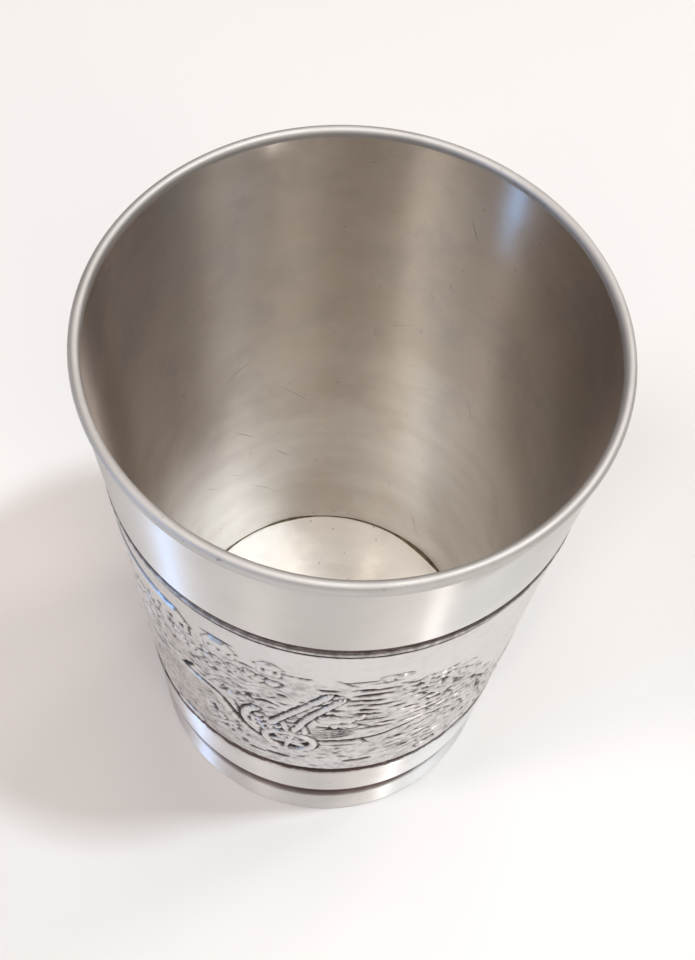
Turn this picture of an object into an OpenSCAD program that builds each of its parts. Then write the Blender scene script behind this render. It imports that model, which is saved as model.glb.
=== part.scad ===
// Tapered pewter shot cup: a thin turned wall with a round bead at the rim, a cast relief
// band soldered round it, a separate soldered floor and a turned foot ring.
// The origin is the centre of the face the cup stands on, and +Z is the cup's axis.
// Sizes are in millimetres.

/* [Wall] */
// Overall height, from the table to the top of the rim
cup_h = 57.4; // [56:0.2:60]
// Outer diameter over the rim bead
rim_d = 40; // [39.6:0.1:40.4]
// Thickness of the round bead that finishes the rim
rim_bead_d = 0.86; // [0.76:0.02:0.94]
// Outer diameter of the wall right under the rim bead
neck_d = 39.5; // [39.2:0.05:39.7]
// Height of the shoulder where the plain upper wall ends, above the relief band
shoulder_z = 45.2; // [45:0.05:45.6]
// Outer diameter of the wall at that shoulder
shoulder_d = 37.84; // [37.7:0.02:38.1]
// Thickness of the wall behind the relief band, measured level
wall_t = 0.5; // [0.4:0.02:0.54]

/* [Floor] */
// Inner diameter of the wall where it meets the floor
floor_d = 29; // [28:0.1:29.2]
// Height of the inside floor above the table
floor_z = 4.3; // [4:0.1:4.6]
// Thickness of the floor disc
floor_t = 1.2; // [1:0.1:1.6]
// Size of the solder fillet between the floor and the wall
floor_fillet = 0.4; // [0.3:0.05:0.6]

/* [Relief band] */
// Height of the band's top edge above the table
band_top_z = 44.5; // [44:0.1:44.7]
// Outer diameter of the band at its top edge
band_top_d = 37.6; // [37.55:0.05:37.8]
// Height of the band's bottom edge above the table
band_bottom_z = 14; // [13.6:0.1:14.4]
// Outer diameter of the band at its bottom edge
band_bottom_d = 34.2; // [34:0.1:34.4]
// Height of the half-round moulding along the band's top edge
moulding_h = 0.66; // [0.5:0.02:0.8]
// Width of the groove under that moulding
groove_w = 0.4; // [0.3:0.02:0.46]
// Width of the soldered seam where the band's two ends meet, at the back
seam_w = 0.5; // [0.3:0.1:0.8]

/* [Foot] */
// Outer diameter of the foot, where it stands on the table
foot_d = 32.9; // [32.6:0.1:33.4]
// Outer diameter of the foot at its upper edge, under the cove
foot_top_d = 32.6; // [32.4:0.1:33]
// Outer diameter of the plain ring above the cove, at its upper edge
ring_d = 34.3; // [34:0.1:34.5]
// Outer diameter of that ring at its lower edge
ring_bottom_d = 33.6; // [33.2:0.1:34]
// Height of the dark joint between the relief band and the ring
joint_h = 0.8; // [0.5:0.05:1]
// Diameter of the waist at the bottom of the cove
cove_d = 31.5; // [31.3:0.1:31.8]
// Height of that waist above the table
cove_z = 5.3; // [5:0.1:5.6]
// Radius of the cove's hollow
cove_r = 1.9; // [1.6:0.1:2.1]
// Radius that breaks the edges of the ring and the foot
edge_r = 0.35; // [0.2:0.05:0.45]
// Diameter of the hollow under the foot
hollow_d = 26.6; // [25:0.2:27]
// Diameter of the hollow where it opens at the table
hollow_mouth_d = 28.8; // [27.6:0.1:29.2]

/* [Hidden] */
$fn = 128;

rim_bead_r = rim_bead_d / 2;
rim_bead_z = cup_h - rim_bead_r;
rim_bead_centre_r = rim_d / 2 - rim_bead_r;
// The inner cone runs up to the bead's middle, where it meets the bead's inner side
rim_inner_r = rim_bead_centre_r - rim_bead_r;
// Height at which the bead's underside meets the wall's outer face
neck_z = rim_bead_z - rim_bead_r;
floor_r = floor_d / 2;
// The wall, the floor disc and the foot's shelf all meet at this height
shelf_z = floor_z - floor_t;
// Thickness of the shelf at its inner edge
shelf_t = 0.9;
// How far the solder in the joints over and under the band lies back from the face
joint_setback = 0.15;
foot_joint_setback = 0.6;
ring_top_z = band_bottom_z - joint_h;
moulding_r = moulding_h / 2;
// How far the moulding stands out from the band's face
moulding_rise = 0.15;
// How far the centre of the groove under the moulding lies outside the band's face
groove_lift = 0.06;
// How far the solder in the band's seam lies below the band's face
seam_setback = 0.08;
// The seam's solder stops under the moulding groove
seam_top_z = band_top_z - moulding_h - groove_w;
// How far the band's section reaches into the wall before the wall's space is cut from it
cut_margin = 0.2;
colour_satin = [0.72, 0.71, 0.69];
colour_bright = [0.82, 0.81, 0.79];
colour_antique = [0.55, 0.54, 0.52];
colour_solder = [0.35, 0.30, 0.26];

// Inner radius of the wall at a height, on its straight cone
function inner_r(z) = floor_r + (rim_inner_r - floor_r) * (z - floor_z) / (rim_bead_z - floor_z);

// Outer radius of the wall at a height below its shoulder, where the relief band sits on it
function seat_r(z) = inner_r(z) + wall_t;

// Outer radius of the relief band at a height
function band_r(z) =
    (band_bottom_d + (band_top_d - band_bottom_d) * (z - band_bottom_z) / (band_top_z - band_bottom_z)) / 2;

// The thin turned cone that holds the drink, open at both ends, with the round bead turned
// along its top edge and a shoulder that the relief band fits under
module wall() {
    color(colour_satin)
        rotate_extrude() {
            polygon([
                [inner_r(shelf_z), shelf_z],
                [seat_r(shelf_z), shelf_z],
                [seat_r(shoulder_z), shoulder_z],
                [shoulder_d / 2, shoulder_z],
                [neck_d / 2, neck_z],
                [rim_bead_centre_r, rim_bead_z],
                [rim_inner_r, rim_bead_z]
            ]);
            translate([rim_bead_centre_r, rim_bead_z])
                circle(r = rim_bead_r, $fn = 48);
        }
}

// The cast jacket that carries the landscape: a moulding along the top, a plain sky, and the
// relief below it. Its two ends meet in a seam at the back.
module relief_band() {
    color(colour_antique)
        difference() {
            rotate_extrude() band_section();
            band_seam_gap();
        }
}

// The band's section: its plain face, the half-round moulding along the top edge, and the
// groove that sets the moulding off from the sky
module band_section() {
    moulding_z = band_top_z - moulding_r;
    groove_z = band_top_z - moulding_h - groove_w / 2;
    difference() {
        union() {
            polygon([
                [seat_r(band_bottom_z) - cut_margin, band_bottom_z],
                [band_r(band_bottom_z), band_bottom_z],
                [band_r(moulding_z), moulding_z],
                [band_r(band_top_z) - moulding_r, band_top_z],
                [seat_r(band_top_z) - cut_margin, band_top_z]
            ]);
            translate([band_r(moulding_z) - moulding_r + moulding_rise, moulding_z])
                circle(r = moulding_r, $fn = 48);
        }
        polygon([
            [0, band_bottom_z - 1],
            [seat_r(band_bottom_z - 1), band_bottom_z - 1],
            [seat_r(band_top_z + 1), band_top_z + 1],
            [0, band_top_z + 1]
        ]);
        translate([band_r(groove_z) + groove_lift, groove_z])
            circle(d = groove_w, $fn = 32);
    }
}

// The slot between the two ends of the band
module band_seam_gap() {
    translate([-seam_w / 2, 0, band_bottom_z - 1])
        cube([seam_w, rim_d, band_top_z - band_bottom_z + 2]);
}

// The solder in the dark line between the wall's shoulder and the band's top edge
module band_top_solder() {
    solder_ring(band_top_z, shoulder_z, shoulder_d / 2 - joint_setback);
}

// The solder in the dark joint between the relief band and the foot ring
module foot_solder() {
    solder_ring(ring_top_z, band_bottom_z, ring_d / 2 - foot_joint_setback);
}

// A ring of solder round the wall between two heights
module solder_ring(low_z, high_z, outer_r) {
    color(colour_solder)
        rotate_extrude()
            polygon([
                [seat_r(low_z), low_z],
                [outer_r, low_z],
                [outer_r, high_z],
                [seat_r(high_z), high_z]
            ]);
}

// The strip of solder that closes the band's seam, a little below the band's face
module band_seam_solder() {
    color(colour_solder)
        intersection() {
            rotate_extrude()
                polygon([
                    [seat_r(band_bottom_z), band_bottom_z],
                    [band_r(band_bottom_z) - seam_setback, band_bottom_z],
                    [band_r(seam_top_z) - seam_setback, seam_top_z],
                    [seat_r(seam_top_z), seam_top_z]
                ]);
            band_seam_gap();
        }
}

// The separate disc that closes the wall's lower end
module floor_disc() {
    color(colour_bright)
        rotate_extrude()
            polygon([
                [0, shelf_z],
                [inner_r(shelf_z), shelf_z],
                [inner_r(floor_z), floor_z],
                [0, floor_z]
            ]);
}

// The thin fillet of solder round the inside corner of the floor
module floor_solder() {
    color(colour_solder)
        rotate_extrude()
            difference() {
                polygon([
                    [inner_r(floor_z) - floor_fillet, floor_z],
                    [inner_r(floor_z), floor_z],
                    [inner_r(floor_z + floor_fillet), floor_z + floor_fillet]
                ]);
                translate([floor_r - floor_fillet, floor_z + floor_fillet])
                    circle(r = floor_fillet, $fn = 48);
            }
}

// The turned ring that the cup stands on: a plain ring, a cove and the foot itself, with a
// shelf inside that carries the floor disc and the wall's lower edge
module foot_ring() {
    color(colour_bright)
        rotate_extrude() foot_section();
}

// The foot ring's section
module foot_section() {
    difference() {
        union() {
            polygon([
                [hollow_mouth_d / 2, 0],
                [foot_d / 2 - edge_r, 0],
                [foot_d / 2, edge_r],
                [foot_top_d / 2, cove_z - cove_r / 2],
                [ring_bottom_d / 2, cove_z + cove_r / 2],
                [ring_d / 2, ring_top_z - edge_r],
                [ring_d / 2 - edge_r, ring_top_z],
                [seat_r(ring_top_z), ring_top_z],
                [seat_r(shelf_z), shelf_z],
                [hollow_d / 2, shelf_z],
                [hollow_d / 2, shelf_z - shelf_t]
            ]);
            translate([foot_d / 2 - edge_r, edge_r])
                circle(r = edge_r, $fn = 48);
            translate([ring_d / 2 - edge_r, ring_top_z - edge_r])
                circle(r = edge_r, $fn = 48);
        }
        translate([cove_d / 2 + cove_r, cove_z])
            circle(r = cove_r);
    }
}

wall();
relief_band();
band_top_solder();
band_seam_solder();
floor_disc();
floor_solder();
foot_ring();
foot_solder();
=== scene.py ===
"""A pewter shot cup with a cast landscape band: the looks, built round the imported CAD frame.

Lengths are in millimetres until a mesh is made, and the cup's axis is the Z axis. On the relief
band a place is given as (x, v): x is the way round from the front, measured on the band's mean
radius and positive to the right, and v is the height above the band's bottom edge.
"""
import math
import random

import bpy
import numpy as np
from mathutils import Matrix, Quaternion, Vector


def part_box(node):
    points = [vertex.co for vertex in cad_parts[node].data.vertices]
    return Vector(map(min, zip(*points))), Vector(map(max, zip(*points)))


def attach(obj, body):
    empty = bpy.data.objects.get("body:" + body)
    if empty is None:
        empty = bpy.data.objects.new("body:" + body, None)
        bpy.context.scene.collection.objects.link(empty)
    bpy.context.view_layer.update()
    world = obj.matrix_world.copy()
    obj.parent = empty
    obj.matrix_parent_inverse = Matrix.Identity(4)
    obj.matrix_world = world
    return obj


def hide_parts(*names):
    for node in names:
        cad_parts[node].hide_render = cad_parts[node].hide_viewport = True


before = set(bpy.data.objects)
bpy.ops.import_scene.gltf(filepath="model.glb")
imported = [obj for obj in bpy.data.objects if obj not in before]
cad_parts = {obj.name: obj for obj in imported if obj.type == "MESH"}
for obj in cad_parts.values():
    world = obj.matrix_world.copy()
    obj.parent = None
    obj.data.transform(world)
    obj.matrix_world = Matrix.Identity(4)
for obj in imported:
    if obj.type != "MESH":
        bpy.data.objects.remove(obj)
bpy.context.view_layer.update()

MM = 0.001
# Keeps a length from being zero where it is divided by
TINY = 1e-9

# ---------------------------------------------------------------- sizes, from the frame


def box_mm(node):
    """The lowest and highest corner of a CAD node, in millimetres."""
    low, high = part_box(node)
    return low / MM, high / MM


wall_high = box_mm("wall")[1]
band_low, band_high = box_mm("relief_band")
floor_low, floor_high = box_mm("floor_disc")
floor_solder_low, floor_solder_high = box_mm("floor_solder")
foot_high = box_mm("foot_ring")[1]
top_joint_high = box_mm("band_top_solder")[1]
foot_joint_high = box_mm("foot_solder")[1]
seam_low, seam_high = box_mm("band_seam_solder")

# A node's box only gives its outermost sizes, so the rest of its section repeats part.scad's sizes
RIM_R = wall_high.x
RIM_Z = wall_high.z
BEAD_R = 0.43
BEAD_Z = RIM_Z - BEAD_R
NECK_R = RIM_R - 0.25
SHOULDER_Z = top_joint_high.z
# The solder in the top joint lies this far back from the shoulder
JOINT_SETBACK = 0.15
SHOULDER_R = top_joint_high.x + JOINT_SETBACK
WALL_T = 0.5
FLOOR_R = floor_high.x
FLOOR_Z = floor_high.z
SHELF_Z = floor_low.z
FILLET = floor_solder_high.z - floor_solder_low.z

BAND_BOTTOM = band_low.z
BAND_TOP = band_high.z
BAND_BOTTOM_R = 17.1
BAND_TOP_R = 18.8
MOULDING_H = 0.66
MOULDING_RISE = 0.15
GROOVE_W = 0.4
GROOVE_LIFT = 0.06
RELIEF_TOP = BAND_TOP - BAND_BOTTOM - MOULDING_H - GROOVE_W
SEAM_W = seam_high.x - seam_low.x

RING_R = foot_high.x
RING_TOP = foot_high.z
RING_BOTTOM_R = RING_R - 0.35
COVE_Z = 5.3
COVE_R = 1.9
COVE_WAIST_R = 15.75
FOOT_TOP_R = 16.3
FOOT_R = 16.45
EDGE_R = 0.35
HOLLOW_R = 13.3
HOLLOW_MOUTH_R = 14.4
SHELF_T = 0.9
# The roundness of an edge that looks sharp
SMALL_R = 0.12


def inner_r(z):
    """Radius of the wall's inside at a height."""
    return FLOOR_R + (RIM_R - 2 * BEAD_R - FLOOR_R) * (z - FLOOR_Z) / (BEAD_Z - FLOOR_Z)


def seat_r(z):
    """Radius of the wall's outside at a height, where the relief band sits on it."""
    return inner_r(z) + WALL_T


def band_r(z):
    """Radius of the relief band's face at a height, before any relief."""
    return BAND_BOTTOM_R + (BAND_TOP_R - BAND_BOTTOM_R) * (z - BAND_BOTTOM) / (BAND_TOP - BAND_BOTTOM)


# The band's face at this radius is as wide as its picture is drawn
MEAN_R = (BAND_BOTTOM_R + BAND_TOP_R) / 2
HALF_ROUND = math.pi * MEAN_R

# ---------------------------------------------------------------- camera

# Distance from the rim's centre, in rim radii, and angles in degrees
CAMERA_DISTANCE = 4.934
CAMERA_ELEVATION = 53.58
CAMERA_PAN = -0.283
CAMERA_TILT = -6.021
CAMERA_ROLL = 5.640
FOCAL_LENGTH = 52.5
SENSOR_WIDTH = 36
NEAREST_SEEN = 5


def direction(azimuth, elevation):
    """The unit vector towards a place, with its angles in degrees and azimuth 0 at the front."""
    turn, lift = math.radians(azimuth), math.radians(elevation)
    return Vector((math.sin(turn) * math.cos(lift), -math.cos(turn) * math.cos(lift), math.sin(lift)))


def add_camera():
    """Looks down into the cup from the front, from close by, as a phone would."""
    towards = direction(0, CAMERA_ELEVATION)
    data = bpy.data.cameras.new("camera")
    data.sensor_width = SENSOR_WIDTH
    data.lens = FOCAL_LENGTH
    data.clip_start = NEAREST_SEEN * MM
    camera = bpy.data.objects.new("camera", data)
    bpy.context.scene.collection.objects.link(camera)
    camera.location = Vector((0, 0, RIM_Z * MM)) + towards * CAMERA_DISTANCE * RIM_R * MM
    camera.rotation_mode = "QUATERNION"
    camera.rotation_quaternion = (
        (-towards).to_track_quat("-Z", "Y")
        @ Quaternion((0, 1, 0), math.radians(CAMERA_PAN))
        @ Quaternion((1, 0, 0), math.radians(CAMERA_TILT))
        @ Quaternion((0, 0, 1), math.radians(CAMERA_ROLL))
    )
    bpy.context.scene.camera = camera


add_camera()

# ---------------------------------------------------------------- mesh helpers


def new_object(name, points, faces, materials=(), smooth=True):
    """A mesh object from points in millimetres."""
    mesh = bpy.data.meshes.new(name)
    mesh.from_pydata((np.asarray(points, float) * MM).tolist(), [], faces)
    mesh.update()
    mesh.polygons.foreach_set("use_smooth", [smooth] * len(mesh.polygons))
    for material in materials:
        mesh.materials.append(material)
    piece = bpy.data.objects.new(name, mesh)
    bpy.context.scene.collection.objects.link(piece)
    return piece


def place(piece, node):
    """Puts a finished piece in a CAD node's place."""
    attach(piece, "root")
    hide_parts(node)


def on_circle(centre, radius, turn):
    """The point on a circle at an angle in radians."""
    return centre[0] + radius * math.cos(turn), centre[1] + radius * math.sin(turn)


def arc(centre, radius, start, end, steps):
    """Points (r, z) along an arc. Angles are in degrees, 0 pointing outwards and 90 up."""
    turns = np.radians(np.linspace(start, end, steps + 1))
    return [on_circle(centre, radius, turn) for turn in turns]


def straight(start, end, step):
    """Points (r, z) from start to end, about step apart, with both ends."""
    start, end = np.array(start, float), np.array(end, float)
    count = max(1, round(float(np.linalg.norm(end - start)) / step))
    return [tuple(start + (end - start) * i / count) for i in range(count + 1)]


def turned(r, z, angle):
    """Points at radii r and heights z, at angles round the axis from the front."""
    return np.stack([r * np.sin(angle), -r * np.cos(angle), z], axis=-1).reshape(-1, 3)


def all_round(values, columns):
    """Each row's value, repeated for all the columns."""
    return np.repeat(np.asarray(values, float)[:, None], columns, axis=1)


def full_turn(columns):
    """The angles of the columns of a closed ring."""
    return np.linspace(0, 2 * math.pi, columns, endpoint=False)


def ring_faces(rows, columns, closed_rows=True, closed_round=True):
    """Quads that join rows of points round the axis, rows going up and facing outwards."""
    row = np.arange(rows if closed_rows else rows - 1)
    here, column = np.meshgrid(row, np.arange(columns if closed_round else columns - 1), indexing="ij")
    above, beside = (here + 1) % rows, (column + 1) % columns
    corners = ((here, column), (here, beside), (above, beside), (above, column))
    return np.stack([r * columns + c for r, c in corners], axis=-1).reshape(-1, 4).tolist()


def strip_faces(rows, columns):
    """The faces of a tube of rows that stops at its first and last column, with an end at each."""
    faces = ring_faces(rows, columns, closed_round=False)
    faces.append([row * columns for row in reversed(range(rows))])
    faces.append([row * columns + columns - 1 for row in range(rows)])
    return faces


class Waves:
    """Gentle unevenness of a hand-turned surface: a seeded sum of waves round and along it.

    rounds is how many waves go round the cup, and lengths is how long a wave is along it.
    """

    def __init__(self, seed, amount, rounds=(2, 9), lengths=(5.0, 18.0), count=9):
        dice = random.Random(seed)
        self.terms = [
            (
                dice.randint(*rounds),
                2 * math.pi / dice.uniform(*lengths),
                dice.uniform(0, 2 * math.pi),
                amount * dice.uniform(0.3, 1.0) / math.sqrt(count),
            )
            for _ in range(count)
        ]

    def __call__(self, angle, height):
        return sum(a * np.sin(n * angle + k * height + p) for n, k, p, a in self.terms)


def lathe(name, outline, materials, columns, waves, wave_share):
    """A closed ring turned from an outline of (r, z) points that runs anticlockwise.

    The waves push the points along the outline's normal, by wave_share(r, z) of their full amount.
    """
    outline = np.array(outline, float)
    angle = full_turn(columns)
    along = np.roll(outline, -1, axis=0) - np.roll(outline, 1, axis=0)
    normal = np.stack([along[:, 1], -along[:, 0]], axis=1)
    normal /= np.maximum(np.linalg.norm(normal, axis=1, keepdims=True), TINY)
    share = np.array([wave_share(*point) for point in outline])
    push = waves(angle[None, :], outline.sum(axis=1)[:, None]) * share[:, None]
    r = outline[:, :1] + normal[:, :1] * push
    z = outline[:, 1:] + normal[:, 1:] * push
    return new_object(name, turned(r, z, angle), ring_faces(len(outline), columns), materials)


def disc(name, outline, materials, columns=256):
    """A solid turned from an outline of (r, z) points that starts and ends on the axis."""
    rim = np.array(outline[1:-1], float)
    points = turned(rim[:, :1], all_round(rim[:, 1], columns), full_turn(columns)).tolist()
    faces = ring_faces(len(rim), columns, closed_rows=False)
    bottom, top = len(points), len(points) + 1
    points += [(0, 0, outline[0][1]), (0, 0, outline[-1][1])]
    last = (len(rim) - 1) * columns
    for column in range(columns):
        beside = (column + 1) % columns
        faces.append((bottom, beside, column))
        faces.append((top, last + column, last + beside))
    return new_object(name, points, faces, materials)


# ---------------------------------------------------------------- material helpers


class Shader:
    """Builds a node material in a few lines: most calls add nodes and return an output."""

    def __init__(self, name):
        self.material = bpy.data.materials.new(name)
        self.material.use_nodes = True
        self.tree = self.material.node_tree
        self.surface = self.tree.nodes["Principled BSDF"]
        self.place = self.node("ShaderNodeTexCoord").outputs["Object"]

    def node(self, kind, **settings):
        made = self.tree.nodes.new(kind)
        for key, value in settings.items():
            setattr(made, key, value)
        return made

    def feed(self, socket, value):
        """Links another node's output to a socket, or sets a number or an opaque colour on it."""
        if isinstance(value, bpy.types.NodeSocket):
            self.tree.links.new(value, socket)
        else:
            socket.default_value = (*value, 1) if isinstance(value, tuple) else value

    def set(self, **sockets):
        """Feeds the surface shader's own sockets, named with underscores for spaces."""
        for name, value in sockets.items():
            self.feed(self.surface.inputs[name.replace("_", " ")], value)

    def wired(self, kind, sockets, output=0, **settings):
        """Adds a node, feeds its sockets by name or number, and returns one of its outputs."""
        made = self.node(kind, **settings)
        for name, value in sockets.items():
            self.feed(made.inputs[name], value)
        return made.outputs[output]

    def work_out(self, operation, first, second=0.0):
        return self.wired("ShaderNodeMath", {0: first, 1: second}, operation=operation)

    def times(self, first, second):
        return self.work_out("MULTIPLY", first, second)

    def plus(self, first, second):
        return self.work_out("ADD", first, second)

    def ramp(self, value, low, high, to_low=0.0, to_high=1.0):
        """Goes smoothly from to_low to to_high as the value goes from low to high."""
        sockets = dict(enumerate((value, low, high, to_low, to_high)))
        return self.wired("ShaderNodeMapRange", sockets, interpolation_type="SMOOTHSTEP")

    def blend(self, share, first, second):
        """A colour between two others. The node keeps its colour sockets after its number ones."""
        return self.wired("ShaderNodeMix", {0: share, 6: first, 7: second}, 2, data_type="RGBA")

    def noise(self, where, scale, detail=3.0, rough=0.55):
        sockets = {"Vector": where, "Scale": scale, "Detail": detail, "Roughness": rough}
        return self.wired("ShaderNodeTexNoise", sockets)

    def round_about(self):
        """The place in turned coordinates: the angle as a point (x, y) on the unit circle, then the
        height and the radius, in metres.
        """
        split = self.node("ShaderNodeSeparateXYZ")
        self.feed(split.inputs[0], self.place)
        x, y, z = split.outputs
        radius = self.work_out("SQRT", self.plus(self.times(x, x), self.times(y, y)))
        return self.work_out("DIVIDE", x, radius), self.work_out("DIVIDE", y, radius), z, radius

    def combine(self, x, y, z):
        return self.wired("ShaderNodeCombineXYZ", {"X": x, "Y": y, "Z": z})

    def turned_marks(self, round_scale, height_scale, lift, detail=4.0):
        """Streaks that run round the axis, as a lathe and a polishing cloth leave them.

        lift is "z" on a wall and "radius" on a flat face.
        """
        x, y, z, radius = self.round_about()
        across = z if lift == "z" else radius
        where = self.combine(
            self.times(x, round_scale), self.times(y, round_scale), self.times(across, height_scale / MM))
        return self.noise(where, 1.0, detail, 0.6)

    def bump(self, height, strength, distance=0.02):
        sockets = {"Strength": strength, "Distance": distance * MM, "Height": height}
        return self.wired("ShaderNodeBump", sockets)

    def brushed(self, amount):
        """Brushed round the axis, so that highlights stretch up and down the wall."""
        tangent = self.wired("ShaderNodeTangent", {}, direction_type="RADIAL", axis="Z")
        self.set(Tangent=tangent, Anisotropic=amount, Anisotropic_Rotation=0.25)

    def scratches(self, slant, length, width, share):
        """Straight stray scratches at one slant: a noise drawn out along it, with its peaks kept.

        The slant is in radians, and length and width are those of one scratch. A larger share
        keeps more of the peaks.
        """
        sharpness = 0.06
        x, y, z, radius = self.round_about()
        around = self.times(self.work_out("ARCTAN2", x, self.times(y, -1.0)), radius)
        along = self.plus(self.times(around, math.cos(slant)), self.times(z, math.sin(slant)))
        across = self.work_out(
            "SUBTRACT", self.times(z, math.cos(slant)), self.times(around, math.sin(slant)))
        # The slant also picks the slice of the noise, so that two slants don't share their peaks
        where = self.combine(
            self.times(along, 1 / (length * MM)), self.times(across, 1 / (width * MM)), slant * 10)
        return self.ramp(self.noise(where, 1.0, 1.0, 0.4), 1 - share, 1 + sharpness - share)


# ---------------------------------------------------------------- materials


def satin_inside():
    """The drinking side: satin, brushed round the axis, with a little tarnish and some scuffs, and painted
    darker and browner towards the top as shade.
    """
    s = Shader("pewter_satin_inside")
    # The second colour serves both the real tarnish and the painted shade towards the top
    clean, tarnish_and_shade = (0.87, 0.835, 0.79), (0.66, 0.60, 0.54)
    pale_streak, brown_streak = (0.82, 0.78, 0.74), (0.63, 0.57, 0.51)
    grey_patch, grime = (0.56, 0.525, 0.51), (0.22, 0.19, 0.165)
    height = s.round_about()[2]
    fine = s.turned_marks(3.0, 9.0, "z")
    broad = s.turned_marks(1.2, 0.35, "z", 2.0)
    cloud = s.noise(s.place, 0.11 / MM, 4.0)
    scuff = s.work_out("MAXIMUM", s.scratches(-0.45, 9.0, 0.22, 0.225), s.scratches(0.95, 8.0, 0.2, 0.22))
    pits = s.ramp(s.noise(s.place, 1.5 / MM, 2.0), 0.71, 0.76)
    # Painted shade: the wall is painted darker and browner towards the top, and its grey patches are kept to
    # that upper part
    high = s.ramp(height, (FLOOR_Z + 8) * MM, (FLOOR_Z + 36) * MM, 0.0, 0.75)
    patch = s.times(s.ramp(s.noise(s.place, 0.16 / MM, 5.0, 0.65), 0.48, 0.64, 0.0, 0.6), high)
    stain_and_painted_shade = s.plus(s.ramp(cloud, 0.42, 0.72, 0.0, 0.5), high)
    colour = s.blend(s.ramp(stain_and_painted_shade, 0.0, 1.0), clean, tarnish_and_shade)
    colour = s.blend(s.ramp(fine, 0.35, 0.75, 0.0, 0.22), colour, pale_streak)
    colour = s.blend(s.ramp(broad, 0.35, 0.70, 0.0, 0.25), colour, brown_streak)
    colour = s.blend(patch, colour, grey_patch)
    marks = s.work_out("MAXIMUM", s.times(scuff, 0.6), s.times(pits, 0.35))
    colour = s.blend(marks, colour, grime)
    rough = s.ramp(broad, 0.3, 0.7, 0.295, 0.32)
    relief = s.plus(s.times(fine, 0.25), s.times(marks, -0.1))
    s.set(Base_Color=colour, Roughness=rough, Metallic=0.97, Normal=s.bump(relief, 0.08))
    s.brushed(1.0)
    return s.material


def satin_outside():
    """The plain upper wall: finer satin than the inside, and lighter."""
    s = Shader("pewter_satin_outside")
    clean, dull, grime = (0.76, 0.75, 0.735), (0.70, 0.685, 0.665), (0.40, 0.38, 0.35)
    fine = s.turned_marks(3.0, 11.0, "z")
    cloud = s.noise(s.place, 0.10 / MM, 4.0)
    scuff = s.work_out("MAXIMUM", s.scratches(0.04, 4.0, 0.16, 0.24), s.scratches(1.2, 5.0, 0.2, 0.21))
    colour = s.blend(s.ramp(cloud, 0.4, 0.7), clean, dull)
    colour = s.blend(s.times(scuff, 0.3), colour, grime)
    rough = s.ramp(fine, 0.3, 0.7, 0.34, 0.38)
    relief = s.plus(s.times(fine, 0.2), s.times(scuff, -0.8))
    s.set(Base_Color=colour, Roughness=rough, Metallic=0.97, Normal=s.bump(relief, 0.10))
    s.brushed(1.0)
    return s.material


def bare(name, low_rough, high_rough, clean, dull, dark_bands=(), brush=0.0):
    """Plain turned pewter, for the rim bead and the foot ring.

    Each band given is the lowest and highest height of a strip painted darker and duller, with
    how far the darkening fades out beyond it. brush is how much highlights stretch.
    """
    s = Shader(name)
    grime, dark_band_colour = (0.22, 0.19, 0.16), (0.22, 0.17, 0.166)
    ragged = 0.05 * MM
    fine = s.turned_marks(3.0, 13.0, "z")
    cloud = s.noise(s.place, 0.16 / MM, 4.0)
    grain = s.noise(s.place, 0.8 / MM, 3.0)
    pits = s.ramp(s.noise(s.place, 1.9 / MM, 2.0), 0.70, 0.76)
    colour = s.blend(s.ramp(cloud, 0.42, 0.72), clean, dull)
    colour = s.blend(s.times(pits, 0.5), colour, grime)
    rough = s.ramp(fine, 0.3, 0.7, low_rough, high_rough)
    height = s.plus(s.round_about()[2], s.ramp(grain, 0.3, 0.7, -ragged, ragged))
    # Each band is painted darker and duller; the one on the foot ring's top is painted shade
    for low, high, fade in dark_bands:
        above = s.ramp(height, (low - fade) * MM, low * MM)
        below = s.ramp(height, high * MM, (high + fade) * MM, 1.0, 0.0)
        darkened = s.times(above, below)
        colour = s.blend(darkened, colour, dark_band_colour)
        rough = s.plus(rough, s.times(darkened, 0.3))
    relief = s.plus(s.times(fine, 0.3), s.times(pits, -1.0))
    s.set(Base_Color=colour, Roughness=rough, Metallic=0.95, Normal=s.bump(relief, 0.12))
    s.brushed(brush)
    return s.material


def antiqued():
    """The cast band: satin on the high spots, and the hollows blackened and left dull.

    The mesh carries how hidden each point is in an attribute, which also holds painted shade along the
    band's bottom edge and under its groove.
    """
    s = Shader("pewter_antique")
    buffed, filmed = (0.71, 0.695, 0.69), (0.64, 0.62, 0.615)
    # The grey and black paint both the antiquing in the hollows and the painted shade at the band's edges
    patina_and_shade_grey, patina_and_shade_black = (0.235, 0.215, 0.212), (0.030, 0.022, 0.021)
    hidden = s.node("ShaderNodeAttribute", attribute_name="patina_and_shade").outputs["Fac"]
    grain = s.noise(s.place, 1.4 / MM, 4.0, 0.6)
    cloud = s.noise(s.place, 0.22 / MM, 3.0)
    uneven = s.plus(hidden, s.ramp(grain, 0.3, 0.7, -0.10, 0.10))
    grey = s.ramp(uneven, 0.02, 0.50)
    dark = s.ramp(uneven, 0.38, 0.85)
    film = s.ramp(cloud, 0.35, 0.7, 0.0, 0.35)
    colour = s.blend(film, buffed, filmed)
    colour = s.blend(grey, colour, patina_and_shade_grey)
    colour = s.blend(dark, colour, patina_and_shade_black)
    rough = s.plus(s.ramp(grain, 0.3, 0.7, 0.36, 0.44), s.times(dark, 0.30))
    metallic = s.work_out("SUBTRACT", 1.0, s.times(dark, 0.75))
    s.set(Base_Color=colour, Roughness=rough, Metallic=metallic, Normal=s.bump(grain, 0.20))
    return s.material


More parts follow.
